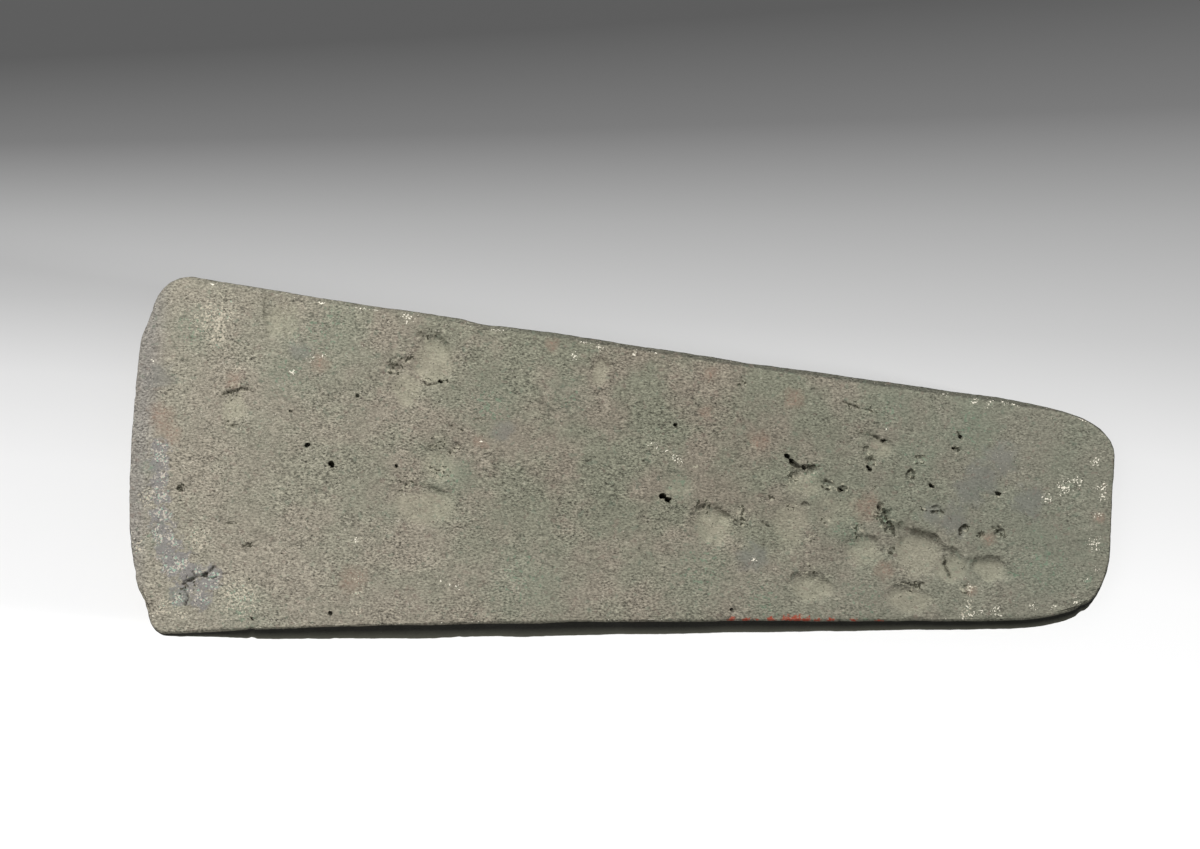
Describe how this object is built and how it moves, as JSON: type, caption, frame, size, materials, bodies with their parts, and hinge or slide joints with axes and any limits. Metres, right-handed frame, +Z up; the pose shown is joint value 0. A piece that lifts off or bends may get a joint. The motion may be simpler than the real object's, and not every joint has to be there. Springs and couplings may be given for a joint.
{
  "type": "bronze age flat axe head",
  "caption": "Flat axe head of cast and hammered bronze with a pitted grey-green patina, splayed blade and rounded butt, lying on one face",
  "frame": {"origin": "centre of the footprint, on the surface that the axe head lies on", "axes": "+X from the cutting edge to the butt, +Y across the axe, +Z up through its thickness"},
  "size_m": [0.1602, 0.0596, 0.01],
  "materials": {
    "bronze_patina": "matte grey-green corroded bronze"
  },
  "bodies": {
    "root": {"axe_head": "bronze_patina"}
  },
  "joints": []
}
